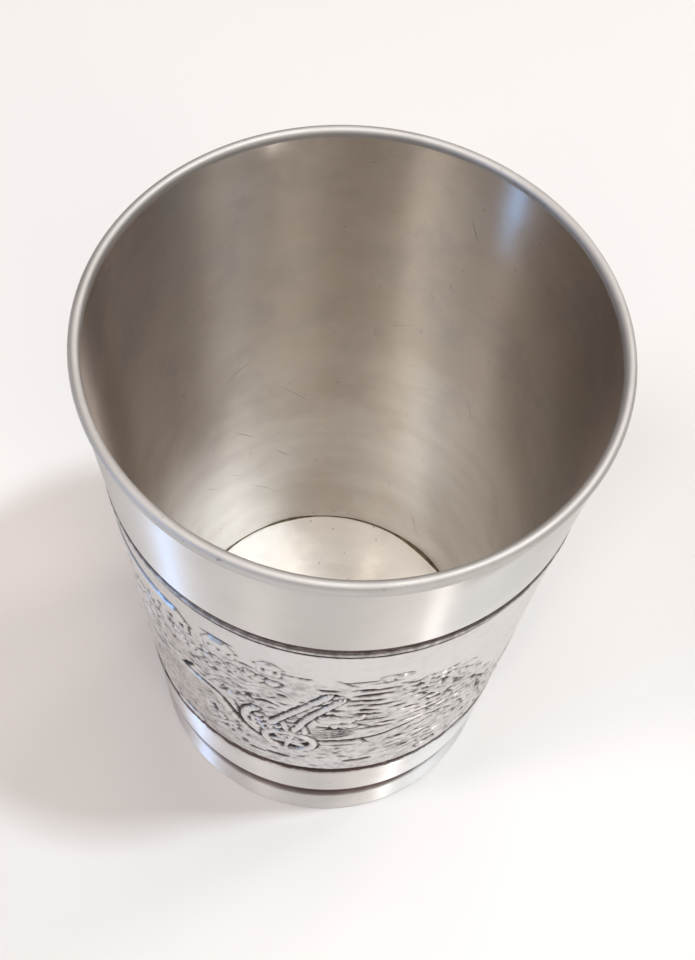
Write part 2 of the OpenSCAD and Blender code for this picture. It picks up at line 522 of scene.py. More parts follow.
def cast_floor():
    """The inside floor: brighter and rougher than the wall, turned on a flat face."""
    s = Shader("pewter_floor")
    clean, dull, grime = (0.90, 0.89, 0.87), (0.78, 0.765, 0.74), (0.30, 0.26, 0.22)
    fine = s.turned_marks(3.0, 7.0, "radius")
    cloud = s.noise(s.place, 0.2 / MM, 4.0)
    specks = s.ramp(s.noise(s.place, 1.2 / MM, 2.0), 0.69, 0.75)
    colour = s.blend(s.ramp(cloud, 0.4, 0.75), clean, dull)
    colour = s.blend(s.times(specks, 0.5), colour, grime)
    rough = s.ramp(fine, 0.3, 0.7, 0.40, 0.50)
    s.set(Base_Color=colour, Roughness=rough, Metallic=1.0, Normal=s.bump(fine, 0.25))
    return s.material


def tarnished_solder(name, brown, dark):
    """Tin solder gone brown, lumpy and dull."""
    s = Shader(name)
    lumps = s.noise(s.place, 0.9 / MM, 4.0, 0.6)
    colour = s.blend(s.ramp(lumps, 0.35, 0.7), brown, dark)
    rough = s.ramp(lumps, 0.3, 0.7, 0.48, 0.68)
    s.set(Base_Color=colour, Roughness=rough, Metallic=0.6, Normal=s.bump(lumps, 0.6, 0.05))
    return s.material


inside_metal = satin_inside()
outside_metal = satin_outside()
rim_metal = bare("pewter_rim", 0.58, 0.66, (0.62, 0.605, 0.59), (0.57, 0.555, 0.54))
# The foot is painted darker round the cove, and its ring's top is painted dark as shade under the band's
# bottom edge
foot_metal = bare(
    "pewter_foot", 0.36, 0.42, (0.78, 0.77, 0.765), (0.72, 0.705, 0.695),
    dark_bands=((COVE_Z - 0.9, COVE_Z + 0.9, 0.9), (RING_TOP - 0.06, RING_TOP, 0.12)), brush=1.0,
)
floor_metal = cast_floor()
antique_metal = antiqued()
floor_solder_metal = tarnished_solder("solder_floor", (0.27, 0.215, 0.145), (0.13, 0.10, 0.065))
joint_solder_metal = tarnished_solder("solder_joint", (0.17, 0.125, 0.12), (0.10, 0.072, 0.07))

# ---------------------------------------------------------------- wall, floor and foot


def wall_waves(r, z):
    """The wall's share of its waves: none by the floor, and fading out below the rim bead."""
    if z <= FLOOR_Z + 1:
        return 0.0
    return min(1.0, max(0.0, (BEAD_Z - 1 - z) / 4))


def make_wall():
    """The turned cone, up its outside, over the rim bead and down its inside."""
    columns, step = 512, 0.4
    seat = straight((seat_r(SHELF_Z), SHELF_Z), (seat_r(SHOULDER_Z), SHOULDER_Z), 2.0)
    shoulder = arc((SHOULDER_R - SMALL_R, SHOULDER_Z + SMALL_R), SMALL_R, -90, 0, 4)
    outside = straight((SHOULDER_R, SHOULDER_Z + 0.2), (NECK_R - 0.06, BEAD_Z - 1.3), step)
    neck = [(NECK_R - 0.045, BEAD_Z - 1.0), (NECK_R, BEAD_Z - 0.72), (NECK_R + 0.06, BEAD_Z - 0.52)]
    bead = neck + arc((RIM_R - BEAD_R, BEAD_Z), BEAD_R, -50, 180, 24)
    inside = straight((inner_r(BEAD_Z - 0.25), BEAD_Z - 0.25), (inner_r(SHELF_Z), SHELF_Z), step)
    outline = seat + shoulder + outside + bead + inside
    metals = [inside_metal, outside_metal, rim_metal]
    waves = Waves(4, 0.02, (2, 5), (50.0, 140.0))
    piece = lathe("cup_wall", outline, metals, columns, waves, wall_waves)
    # The row of faces below the first point of the bead belongs to the bead
    first_bead = len(seat + shoulder + outside)
    slots = np.full((len(outline), columns), metals.index(inside_metal))
    slots[:first_bead - 1] = metals.index(outside_metal)
    slots[first_bead - 1:first_bead + len(bead)] = metals.index(rim_metal)
    piece.data.polygons.foreach_set("material_index", slots.reshape(-1))
    place(piece, "wall")


def make_floor():
    """The floor disc, very slightly dished, with faint turned rings on both its faces."""
    middle_r, dish, gap, under_ring = 0.25, 0.10, 0.03, 0.01
    radii = np.linspace(inner_r(FLOOR_Z) - 0.02, middle_r, 90)
    rings = 0.0015 * np.sin(radii * 4.1) + 0.001 * np.sin(radii * 9.7)
    heights = FLOOR_Z - gap + (rings - dish * (1 - (radii / FLOOR_R) ** 2))
    top = list(zip(radii, heights))
    under_r = np.linspace(middle_r, inner_r(SHELF_Z), 40)
    under = [(r, SHELF_Z + under_ring + under_ring * math.sin(r * 6.0)) for r in under_r]
    outline = [(0, under[0][1])] + under + top + [(0, top[-1][1])]
    place(disc("cup_floor", outline, [floor_metal]), "floor_disc")


def make_floor_solder():
    """The fillet in the floor's corner, wider where the solder ran."""
    columns, overlap = 384, 0.06
    angle = full_turn(columns)
    # It ran furthest at the back right
    run = 0.35 * np.exp(-((angle - 2.2) / 0.5) ** 2)
    width = np.clip(FILLET * (0.75 + Waves(11, 0.45, (1, 13))(angle, 0) + run), 0.16, 1.3 * FILLET)
    turn = np.linspace(0, math.pi / 2, 7)[:, None]
    corner = inner_r(FLOOR_Z) + 0.05
    r = np.vstack([corner - (width - np.sin(turn) * width), np.full(columns, corner)])
    up = FLOOR_Z - overlap + (width - np.cos(turn) * width)
    z = np.vstack([up, np.full(columns, FLOOR_Z - 2 * overlap)])
    faces = ring_faces(len(r), columns)
    piece = new_object("floor_solder_bead", turned(r, z, angle), faces, [floor_solder_metal])
    place(piece, "floor_solder")


def foot_waves(r, z):
    """The foot's share of its waves: all of them on its outer face, clear of its edges."""
    return 1.0 if r > COVE_WAIST_R - 0.25 and 0.5 < z < RING_TOP - 0.3 else 0.0


def make_foot():
    """The plain ring, the cove and the foot, with the shelf and the hollow inside."""
    cove_centre_r, ring_edge_r = COVE_WAIST_R + COVE_R, 0.3
    # Where the cove's hollow meets the ring above it and the foot below it
    upper = math.acos((RING_BOTTOM_R - cove_centre_r) / COVE_R)
    lower = math.acos((FOOT_TOP_R - cove_centre_r) / COVE_R)
    ring_low_z = COVE_Z + COVE_R * math.sin(upper)
    foot_edge_z = COVE_Z - COVE_R * math.sin(lower)
    foot = arc((FOOT_R - EDGE_R, EDGE_R), EDGE_R, -90, 0, 8)
    foot_edge = arc((FOOT_TOP_R - SMALL_R, foot_edge_z - SMALL_R), SMALL_R, 0, 50, 4)
    # The cove stops this many degrees short of both its edges, as they are rounded
    short = 3
    cove_ends = (360 - math.degrees(lower) - short, math.degrees(upper) + short)
    cove = arc((cove_centre_r, COVE_Z), COVE_R, *cove_ends, 18)
    ring_low = arc((RING_BOTTOM_R - ring_edge_r, ring_low_z + ring_edge_r), ring_edge_r, -55, 0, 6)
    ring_face = straight((RING_BOTTOM_R, ring_low_z + 0.4), (RING_R, RING_TOP - EDGE_R), 0.8)
    ring_top = arc((RING_R - EDGE_R, RING_TOP - EDGE_R), EDGE_R, 8, 90, 8)
    shelf = [
        (seat_r(RING_TOP), RING_TOP),
        (seat_r(SHELF_Z), SHELF_Z),
        (HOLLOW_R, SHELF_Z),
        (HOLLOW_R, SHELF_Z - SHELF_T + 0.1),
        (HOLLOW_R + 0.1, SHELF_Z - SHELF_T),
    ]
    mouth = [(HOLLOW_MOUTH_R, 0.08), (HOLLOW_MOUTH_R + 0.08, 0)]
    outline = foot + foot_edge + cove + ring_low + ring_face + ring_top + shelf + mouth
    piece = lathe("foot_ring_turned", outline, [foot_metal], 384, Waves(21, 0.02), foot_waves)
    place(piece, "foot_ring")


def solder_ring(name, node, low, high, face_r, seed):
    """A slightly lumpy ring of solder between two heights, which it overlaps a little."""
    columns, overlap = 512, 0.03
    angle = full_turn(columns)
    lumps = Waves(seed, 0.02, (5, 40), count=16)
    heights = np.linspace(low - overlap, high + overlap, 7)
    face = [face_r + lumps(angle, z) for z in heights]
    r = np.vstack([np.full(columns, seat_r(low))] + face + [np.full(columns, seat_r(high))])
    z = all_round([heights[0], *heights, heights[-1]], columns)
    piece = new_object(name, turned(r, z, angle), ring_faces(len(r), columns), [joint_solder_metal])
    place(piece, node)


# ---------------------------------------------------------------- the relief band's picture


def smooth_line(points, step=0.25):
    """A smooth curve through the points, as an array of places about step apart."""
    points = np.array(points, float)
    if len(points) < 3:
        length = float(np.linalg.norm(points[-1] - points[0]))
        share = np.linspace(0, 1, max(2, math.ceil(length / step) + 1))[:, None]
        return points[0] + (points[-1] - points[0]) * share
    ends = np.vstack([2 * points[0] - points[1], points, 2 * points[-1] - points[-2]])
    pieces = []
    for before, start, end, after in zip(ends, ends[1:], ends[2:], ends[3:]):
        count = max(2, math.ceil(float(np.linalg.norm(end - start)) / step))
        t = np.linspace(0, 1, count, endpoint=False)[:, None]
        square = 2 * before - 5 * start + 4 * end - after
        cube = 3 * start - before - 3 * end + after
        pieces.append(0.5 * (2 * start + (end - before) * t + square * t ** 2 + cube * t ** 3))
    return np.vstack(pieces + [points[-1:]])


class Canvas:
    """The band's picture as a height map, in mm, with what is raised and what is cut kept apart.

    PEN thickens every line, because the widths are given as for a finer point than this metal's.
    """

    PEN = 1.5
    # The random draws for what is being drawn
    dice = None

    def __init__(self, columns, rows):
        self.x = np.linspace(-1, 1, columns) * (HALF_ROUND - 0.5 * SEAM_W)
        self.v = np.linspace(0, RELIEF_TOP, rows)
        self.raised = np.zeros((rows, columns))
        self.cut = np.zeros((rows, columns))

    def window(self, line, margin):
        """The part of the map round a line: its slices, and its x and v as grids."""
        x0, v0 = line.min(axis=0) - margin
        x1, v1 = line.max(axis=0) + margin
        rows = slice(*np.searchsorted(self.v, [v0, v1]))
        columns = slice(*np.searchsorted(self.x, [x0, x1]))
        grid_x, grid_v = np.meshgrid(self.x[columns], self.v[rows])
        return (rows, columns), grid_x, grid_v

    def away(self, line, margin):
        """The slices round a line, each place's distance from it, and how far along it that is."""
        place_of, grid_x, grid_v = self.window(line, margin)
        best = np.full(grid_x.shape, np.inf)
        share = np.zeros(grid_x.shape)
        for i, (start, end) in enumerate(zip(line, line[1:])):
            step = end - start
            span = max(float(step @ step), TINY)
            t = np.clip(((grid_x - start[0]) * step[0] + (grid_v - start[1]) * step[1]) / span, 0, 1)
            far = np.hypot(grid_x - start[0] - t * step[0], grid_v - start[1] - t * step[1])
            share = np.where(far < best, (i + t) / (len(line) - 1), share)
            best = np.minimum(best, far)
        return place_of, best, share

    def stroke(self, layer, points, width, amount, taper=0.0):
        """Draws a round-bottomed stroke into a layer. taper thins it towards its ends."""
        width *= self.PEN
        line = smooth_line(points)
        place_of, far, share = self.away(line, width)
        thin = 1 - taper * np.abs(2 * share - 1) ** 2
        profile = np.clip(1 - (far / (0.5 * width * np.maximum(thin, 0.15))) ** 2, 0, 1) ** 0.7
        layer[place_of] = np.maximum(layer[place_of], amount * thin * profile)

    def engrave(self, points, width=0.30, depth=0.22, taper=0.5):
        """A dark cut line."""
        self.stroke(self.cut, points, width, depth, taper)

    def ridge(self, points, width=0.30, height=0.09, taper=0.5):
        """A raised line with no cut beside it."""
        self.stroke(self.raised, points, width, height, taper)

    def rope(self, points, width=0.45, height=0.13, moat=0.16):
        """A raised line with a fine cut along both its sides."""
        width *= self.PEN
        gap = moat * self.PEN
        line = smooth_line(points)
        place_of, far, _ = self.away(line, width + 2 * gap)
        body = np.clip(1 - (far / (0.5 * width)) ** 2, 0, 1) ** 0.6
        beside = np.clip(1 - ((far - 0.5 * width - 0.5 * gap) / (0.55 * gap)) ** 2, 0, 1)
        self.raised[place_of] = np.maximum(self.raised[place_of], height * body)
        cut = self.cut[place_of]
        self.cut[place_of] = np.where(far < 0.5 * width, 0.25 * cut, np.maximum(cut, moat * beside))

    def inside(self, outline, margin=0.6):
        """The slices round a closed outline, and each place's distance inside it."""
        line = np.vstack([outline, outline[:1]])
        place_of, far, _ = self.away(line, margin)
        _, grid_x, grid_v = self.window(line, margin)
        within = np.zeros(grid_x.shape, bool)
        for (x0, v0), (x1, v1) in zip(line, line[1:]):
            crosses = (v0 > grid_v) != (v1 > grid_v)
            reach = x0 + (grid_v - v0) * (x1 - x0) / ((v1 - v0) or TINY)
            within ^= crosses & (grid_x < reach)
        return place_of, np.where(within, far, -far)

    def slab(self, corners, height=0.12, edge=0.25, moat=0.18):
        """A raised area with straight sides, set off by a fine cut round it."""
        place_of, depth = self.inside(np.array(corners, float))
        gap = moat * self.PEN
        body = np.clip(depth / edge, 0, 1)
        beside = np.clip(1 - ((depth + 0.5 * gap) / (0.55 * gap)) ** 2, 0, 1)
        self.raised[place_of] = np.maximum(self.raised[place_of], height * body ** 0.7)
        kept = np.where(depth > 0, 0.15 * self.cut[place_of], self.cut[place_of])
        self.cut[place_of] = np.maximum(kept, moat * beside)

    def blob(self, centre, radii, height=0.12, moat=0.16, lean=0.0):
        """A raised oval, such as a leaf mass or a stone."""
        turn = np.linspace(0, 2 * math.pi, 28, endpoint=False)
        across, up = radii[0] * np.cos(turn), radii[1] * np.sin(turn)
        x = centre[0] + across * math.cos(lean) - up * math.sin(lean)
        v = centre[1] + across * math.sin(lean) + up * math.cos(lean)
        self.slab(np.stack([x, v], axis=1), height, max(0.3, 0.7 * min(radii)), moat)

    def height(self):
        """The finished height map."""
        return self.raised - self.cut


def cottage(art, x, v, width, walls, roof, windows):
    """A small house seen from the side: walls, a pitched roof with an eave, and windows."""
    art.slab([(x, v), (x + width, v), (x + width, v + walls), (x, v + walls)], 0.09, moat=0.12)
    ridge = v + walls + roof
    eave = 0.25
    eaves = [(x - eave, v + walls), (x + width + eave, v + walls)]
    art.slab(eaves + [(x + width - 0.7, ridge), (x + 0.7, ridge)], 0.17, moat=0.12)
    art.engrave([(x - eave, v + walls - 0.05), (x + width + eave, v + walls - 0.05)], 0.26, 0.2, 0.1)
    for i in range(windows):
        middle = x + width * (i + 0.5) / windows
        art.engrave([(middle, v + 0.35 * walls), (middle, v + 0.75 * walls)], 0.36, 0.24, 0.1)


def shingles(art, x0, x1, v, height):
    """Short upright nicks along a long roof."""
    x = x0
    while x < x1:
        art.engrave([(x, v), (x + art.dice.uniform(-0.1, 0.1), v + height)], 0.16, 0.07)
        x += art.dice.uniform(0.5, 0.9)


def leaves(art, centre, radii, count, large=1):
    """A bush or a tree's crown: overlapping raised leaves with dark gaps."""
    for _ in range(count):
        turn, out = art.dice.uniform(0, 2 * math.pi), math.sqrt(art.dice.random())
        spot = (centre[0] + radii[0] * out * math.cos(turn), centre[1] + radii[1] * out * math.sin(turn))
        size = large * art.dice.uniform(0.28, 0.5)
        height, lean = art.dice.uniform(0.08, 0.17), art.dice.uniform(-0.8, 0.8)
        art.blob(spot, (size * 1.3, size * 0.8), height, 0.14, lean)


def tree(art, x, v, height, crown):
    """A leaf tree: a trunk with a fork, and a crown."""
    art.rope([(x, v), (x + 0.1, v + 0.4 * height), (x - 0.05, v + 0.7 * height)], 0.34, 0.12, 0.13)
    art.rope([(x + 0.1, v + 0.4 * height), (x + 0.6, v + 0.65 * height)], 0.24, 0.10, 0.10)
    leaves(art, (x, v + height - 0.5 * crown), (crown, 0.62 * crown), int(9 + 7 * crown))


def fir(art, x, v, height):
    """A fir: a trunk and drooping branches on both sides."""
    art.rope([(x, v), (x, v + height)], 0.22, 0.10, 0.10)
    levels = max(4, int(height / 0.55))
    for i in range(levels):
        level = v + 0.2 * height + 0.8 * height * i / levels
        reach = 0.36 * height * (1 - i / levels) + 0.12
        for side in (-1, 1):
            tip = (x + side * reach, level - 0.45 * reach)
            art.rope([(x, level + 0.12), (x + side * 0.55 * reach, level), tip], 0.24, 0.11, 0.09)


def tuft(art, x, v, size, blades=5):
    """Grass or reeds: blades fanned out from one foot."""
    for i in range(blades):
        lean = (i - (blades - 1) / 2) / blades + art.dice.uniform(-0.1, 0.1)
        tip = (x + lean * size * 1.5, v + size * (1 - 0.5 * abs(lean)))
        art.engrave([(x + 0.12 * i, v), (x + 0.5 * lean * size, v + 0.6 * size), tip], 0.22, 0.17, 0.6)


def dashes(art, corner, size, rows, length, slope=0, width=0.30, depth=0.24):
    """Rows of short level strokes, as on water or ploughed ground."""
    for row in range(rows):
        v = corner[1] + size[1] * (row + 0.5) / rows
        x = corner[0] + art.dice.uniform(0, 1.2)
        while x < corner[0] + size[0]:
            run = art.dice.uniform(*length)
            v_here = v + art.dice.uniform(-0.18, 0.18) + slope * (x - corner[0])
            art.engrave([(x, v_here), (x + run / 2, v_here + 0.08), (x + run, v_here)], width, depth, 0.6)
            art.ridge([(x + 0.1, v_here - 0.42), (x + run, v_here - 0.38)], 0.24, 0.05)
            x += run + art.dice.uniform(0.4, 1.4)


def hatch(art, corner, size, count, depth=0.05):
    """Faint slanting tool marks in open ground."""
    for _ in range(count):
        x, v = corner[0] + art.dice.random() * size[0], corner[1] + art.dice.random() * size[1]
        run = art.dice.uniform(0.4, 1.1)
        art.engrave([(x, v), (x + run, v + 0.5 * run)], 0.2, depth * art.dice.uniform(0.5, 1.4), 0.5)


def scribble(art, corner, size, count, slant=0, length=(0.5, 1.4), depth=0.15, spread=0.6):
    """Rough ground or foliage: short curved strokes about one slant, some raised and some cut."""
    for _ in range(count):
        x, v = corner[0] + art.dice.random() * size[0], corner[1] + art.dice.random() * size[1]
        turn = slant + art.dice.uniform(-spread, spread)
        run = art.dice.uniform(*length)
        across, up = run * math.cos(turn), run * math.sin(turn)
        bend = art.dice.uniform(-0.25, 0.25)
        line = [(x, v), (x + across / 2 - bend * up, v + up / 2 + bend * across), (x + across, v + up)]
        if art.dice.random() < 0.4:
            art.ridge(line, art.dice.uniform(0.2, 0.36), art.dice.uniform(0.05, 0.11))
        else:
            art.engrave(line, art.dice.uniform(0.16, 0.30), depth * art.dice.uniform(0.5, 1.3), 0.6)


def wheel(art, centre, radius, spokes=6):
    """A cart wheel: a raised rim, a hub and spokes over dark gaps."""
    turns = np.linspace(0, 2 * math.pi, 17)
    for share, depth in ((0.80, 0.24), (0.62, 0.20)):
        art.engrave([on_circle(centre, share * radius, turn) for turn in turns], 0.34, depth, 0)
    for i in range(spokes):
        art.rope([centre, on_circle(centre, radius, math.pi * (i + 0.35) * 2 / spokes)], 0.24, 0.12, 0.13)
    art.rope([on_circle(centre, radius, turn) for turn in turns], 0.44, 0.17, 0.18)
    art.blob(centre, (0.34, 0.34), 0.18, 0.14)


def hay_cart(art):
    """A two-wheeled hay cart at rest, its shafts raised to the right."""
    floor, back, rail = (-5.3, 9.2), (-6, 12.6), (-0.9, 10.6)
    for lift in (0, 0.95, 1.9):
        start, end = (floor[0] - 0.25 * lift, floor[1] + lift), (rail[0] - 0.2 * lift, rail[1] + lift)
        art.rope([start, end], 0.36, 0.14)
    for share in (0, 0.33, 0.66, 1):
        foot = (floor[0] + share * (rail[0] - floor[0]), floor[1] + share * (rail[1] - floor[1]))
        art.rope([foot, (foot[0] - 0.45, foot[1] + 2.3)], 0.34, 0.14)
    art.rope([floor, (-6.3, 10.4), back, (-5.2, 14)], 0.5, 0.16, 0.18)
    for _ in range(26):
        x = art.dice.uniform(-5.6, -1.4)
        v = 12.0 + 0.3 * (x + 5.6) + art.dice.uniform(0, 1.5)
        art.engrave([(x, v), (x + art.dice.uniform(0.4, 0.9), v + art.dice.uniform(-0.1, 0.5))], 0.2, 0.14)
    for offset in (0, 1):
        foot, middle = (-3.9 + 2 * offset, 11.4 - 0.7 * offset), (-1.6 + 1.2 * offset, 16.3 - offset)
        art.rope([foot, middle, (0.9 + offset, 20.8 - offset)], 0.34, 0.17, 0.2)
    wheel(art, (-2.3, 7.6), 2.2)


def rowing_boat(art, x, v, length):
    """A small empty boat with its thwarts and an oar."""
    half = length / 2
    keel = [(x - 0.4 * half, v - 0.25), (x + 0.4 * half, v - 0.3)]
    hull = [(x - half, v + 0.5)] + keel + [(x + half, v + 0.45)]
    art.rope(hull, 0.36, 0.15, 0.18)
    art.rope([(x - half, v + 0.55), (x, v + 0.75), (x + half, v + 0.5)], 0.26, 0.13, 0.14)
    for share in (-0.35, 0.05, 0.4):
        art.engrave([(x + share * half, v - 0.05), (x + share * half + 0.1, v + 0.6)], 0.24, 0.2)
    art.rope([(x - 0.1 * half, v + 0.5), (x + 0.9 * half, v - 1.1)], 0.2, 0.11, 0.12)


def mill(art, x, v):
    """A small windmill on a rise, its sails in a cross."""
    art.slab([(x - 0.9, v), (x + 0.9, v), (x + 0.55, v + 3.1), (x - 0.55, v + 3.1)], 0.12)
    art.slab([(x - 0.7, v + 3.1), (x + 0.7, v + 3.1), (x, v + 4)], 0.18)
    for turn in (0.5, 2.07, 3.64, 5.21):
        art.rope([(x, v + 3.2), on_circle((x, v + 3.2), 2.3, turn)], 0.24, 0.15, 0.14)
    art.engrave([(x, v + 0.1), (x, v + 1)], 0.5, 0.24, 0.1)


def fence(art, x0, x1, v, posts):
    """A post-and-rail fence."""
    for rail in (0.45, 1):
        art.rope([(x0, v + rail), ((x0 + x1) / 2, v + rail + 0.15), (x1, v + rail)], 0.2, 0.1, 0.1)
    for i in range(posts):
        x = x0 + (x1 - x0) * i / (posts - 1)
        art.rope([(x, v - 0.1), (x, v + 1.35)], 0.28, 0.13, 0.12)


def village(art):
    """The long farm building at the left, the houses beside it and the skyline to their right."""
    art.slab([(-26.2, 22.6), (-11, 22.6), (-11, 24.4), (-26.2, 24.4)], 0.06)
    art.slab([(-26.6, 24.4), (-10.7, 24.4), (-12, 26.3), (-25.6, 26.3)], 0.15)
    art.engrave([(-18.5, 26.45), (-14, 26.45), (-11.9, 26.2)], 0.26, 0.2, 0.2)
    shingles(art, -25.4, -12.2, 24.8, 1)
    for i in range(9):
        x = -11.7 - 1.15 * i * (1 + 0.05 * i)
        art.engrave([(x, 23.1), (x, 23.9)], 0.5, 0.26, 0.1)
    cottage(art, -9.4, 23.3, 2.6, 1.3, 1.5, 3)
    art.engrave([(-9.6, 26.2), (-6.9, 26.2)], 0.3, 0.22, 0.3)
    cottage(art, -4.9, 23.2, 1.9, 1.5, 1.1, 2)
    art.engrave([(-6.5, 23.5), (-5.2, 23.4)], 0.36, 0.2)
    for x in (-2.8, -2.2, -1.5, -0.9):
        art.engrave([(x - 0.2, 24), (x + 0.2, 24.05)], 0.34, 0.2, 0.2)
    leaves(art, (-8.2, 21.6), (1.6, 0.9), 9)
    leaves(art, (-12.5, 20.9), (2.2, 0.8), 8)
    art.engrave([(1.2, 24.4), (2.1, 23.4), (3, 22.9)], 0.26, 0.16)
    art.engrave([(1.9, 23.75), (4.4, 23.9)], 0.26, 0.24, 0.2)
    leaves(art, (5, 24.2), (1.5, 0.35), 9)
    art.engrave([(3.4, 23.3), (6.3, 23.2)], 0.22, 0.18)


def far_shore(art):
    """The far shore, a lane and the hills, left of the cart."""
    art.engrave([(-12.9, 13.4), (-12.2, 14.2), (-11.3, 15.6)], 0.5, 0.26, 0.4)
    lane = [(-12.4, 13.6), (-11, 13.7), (-9.2, 13.2), (-8, 11.6), (-7.2, 9.6), (-6.2, 7.9), (-5, 6.6)]
    art.engrave(lane, 0.42, 0.30, 0.3)
    bank = [(-12.2, 13), (-10.4, 13), (-9, 12.3), (-8.2, 10.6), (-7.4, 8.9), (-6.2, 7.1)]
    art.rope(bank, 0.36, 0.08, 0.06)
    art.engrave([(-7.3, 13.4), (-6.9, 11.2), (-6.7, 9), (-5.4, 7.2)], 0.3, 0.2, 0.4)
    art.rope([(-9.8, 15), (-8.8, 16.7), (-7, 17.6), (-5.2, 17.4)], 0.3, 0.08, 0.10)
    art.engrave([(-8.9, 16.2), (-7.4, 17.1), (-6, 17)], 0.2, 0.10)
    art.engrave([(-11.4, 14.9), (-10.2, 14.7), (-9, 14.5)], 0.3, 0.12)
    art.engrave([(-5.4, 15.8), (-4.3, 16.6), (-3.2, 16.2)], 0.4, 0.22, 0.5)
    leaves(art, (-7.4, 15.4), (1.5, 0.9), 8)
    art.rope([(-5.8, 19.3), (-4.4, 20.2), (-2.9, 19.8), (-1.9, 18.6)], 0.26, 0.06, 0.09)
    dashes(art, (-10.8, 18.4), (5, 2), 3, (0.5, 1.1), 0, 0.26, 0.08)


def water(art):
    """The water right of the cart, and the bush and the furrows on its near bank."""
    dashes(art, (-0.9, 15.2), (4, 7.2), 6, (1.2, 2.6), 0.05, 0.28, 0.32)
    dashes(art, (2.4, 11.2), (8, 11.2), 9, (1.5, 3.4), 0.02, 0.28, 0.32)
    art.engrave([(-1, 16.2), (0.4, 15.5), (1.4, 16.3)], 0.26, 0.22)
    leaves(art, (1.9, 14.2), (1.9, 1.5), 10, 1.6)
    for i in range(3):
        art.engrave([(2.8, 13.0 + 0.7 * i), (4.4, 12.6 + 1.1 * i), (5.4, 12.4 + 1.4 * i)], 0.22, 0.16, 0.6)
    art.engrave([(0.1, 12.6), (1.4, 12.2), (2.4, 12.9)], 0.44, 0.28, 0.4)
    for i in range(6):
        art.engrave([(-0.3, 9.4 + 0.55 * i), (1.8, 9.9 + 0.5 * i), (3.4, 10.7 + 0.42 * i)], 0.24, 0.2, 0.5)


def near_shore(art):
    """The near shore, with its planks, stones and a rowing boat."""
    shore = [(0.2, 8.7), (3.2, 9.1), (5.6, 9.6), (7.6, 10.6), (9.6, 11.1), (11.2, 10.5)]
    art.engrave(shore, 0.34, 0.26, 0.2)
    art.rope([(0.6, 8.1), (3.2, 8.4), (3.9, 8.2)], 0.4, 0.08, 0.12)
    art.engrave([(0.5, 7.5), (3.4, 7.7)], 0.24, 0.2, 0.3)
    art.engrave([(4, 9.2), (4.4, 8.2), (4.8, 7.9)], 0.26, 0.18)
    for i in range(4):
        art.engrave([(6.0 + 0.3 * i, 3.7 + 1.3 * i), (8.8 + 0.3 * i, 4.2 + 1.3 * i)], 0.26, 0.24, 0.4)
        art.engrave([(7.4 + 0.3 * i, 3.2 + 1.3 * i), (9.6 + 0.3 * i, 3.7 + 1.3 * i)], 0.22, 0.2, 0.4)
    rowing_boat(art, 11.6, 12.4, 3.4)
    art.blob((10.9, 1.9), (1, 0.5), 0.14, 0.2)
    art.blob((10.6, 3.7), (0.8, 0.4), 0.12, 0.18)
    art.blob((12.5, 2.6), (0.7, 0.35), 0.1, 0.14)


def foreground(art):
    """Short heavy strokes, pebbles and faint hatching."""
    art.engrave([(-5.9, 2.35), (-4.6, 2.25)], 0.36, 0.28, 0.1)
    art.engrave([(-4.3, 2.7), (-2.4, 2.75)], 0.34, 0.28, 0.1)
    art.rope([(-4.4, 2.2), (-2.3, 2.3)], 0.26, 0.07, 0.05)
    art.engrave([(2.9, 2.7), (5.2, 2.9)], 0.34, 0.26, 0.1)
    art.rope([(2.9, 2.25), (5.3, 2.4)], 0.26, 0.07, 0.05)
    art.rope([(-14.8, 0.8), (-13.3, 0.9), (-11.8, 0.8)], 0.6, 0.12, 0.10)
    art.engrave([(-14, 1.5), (-12.2, 1.6)], 0.3, 0.12)
    pebbles = ((-1.4, 3.4), (-0.5, 1), (0.6, 4.7), (1.5, 5.2), (2.1, 4.2), (-4, 4.3), (-3, 4.6), (4.9, 4.9))
    for x, v in pebbles:
        art.engrave([(x, v), (x + 0.7, v + 0.06)], 0.34, 0.12, 0.4)
    leaves(art, (-8.9, 6.8), (1.5, 1.8), 9)
    tuft(art, -9.6, 7.4, 1.6, 4)
    tuft(art, -8.6, 4.6, 1.2, 4)
    tuft(art, -6.6, 2.7, 1.1, 4)
    hatch(art, (-22, 1.5), (15.5, 10.5), 110)
    hatch(art, (-4, 3.6), (9, 1.6), 16)
    scribble(art, (-10.6, 3.2), (4.4, 7.2), 46, 1)
    scribble(art, (-24, 1.4), (14, 9.6), 60, 0.7, depth=0.07)


def rough_ground(art):
    """Bushes and rough grass between the village and the cart, and reeds on the near bank."""
    scribble(art, (-24, 13.4), (13, 8.6), 90, 0.5, depth=0.10)
    scribble(art, (-11.6, 15.4), (6, 6.4), 70, 0.2, depth=0.16)
    scribble(art, (-9.2, 13.6), (3.4, 3.4), 30, 0.5, depth=0.18)
    leaves(art, (-4.6, 21.6), (2.2, 0.8), 12)
    leaves(art, (-15.4, 21.4), (2.4, 0.7), 12)
    scribble(art, (-4.6, 14), (3.6, 5.4), 30, 0.1, depth=0.18)
    scribble(art, (6, 3), (6.6, 6.4), 34, 0.15, (1.2, 2.6), 0.24, 0.2)
    scribble(art, (-1.2, 3.4), (6.4, 3.6), 14, 0.05, (0.4, 1.1), 0.12, 0.3)


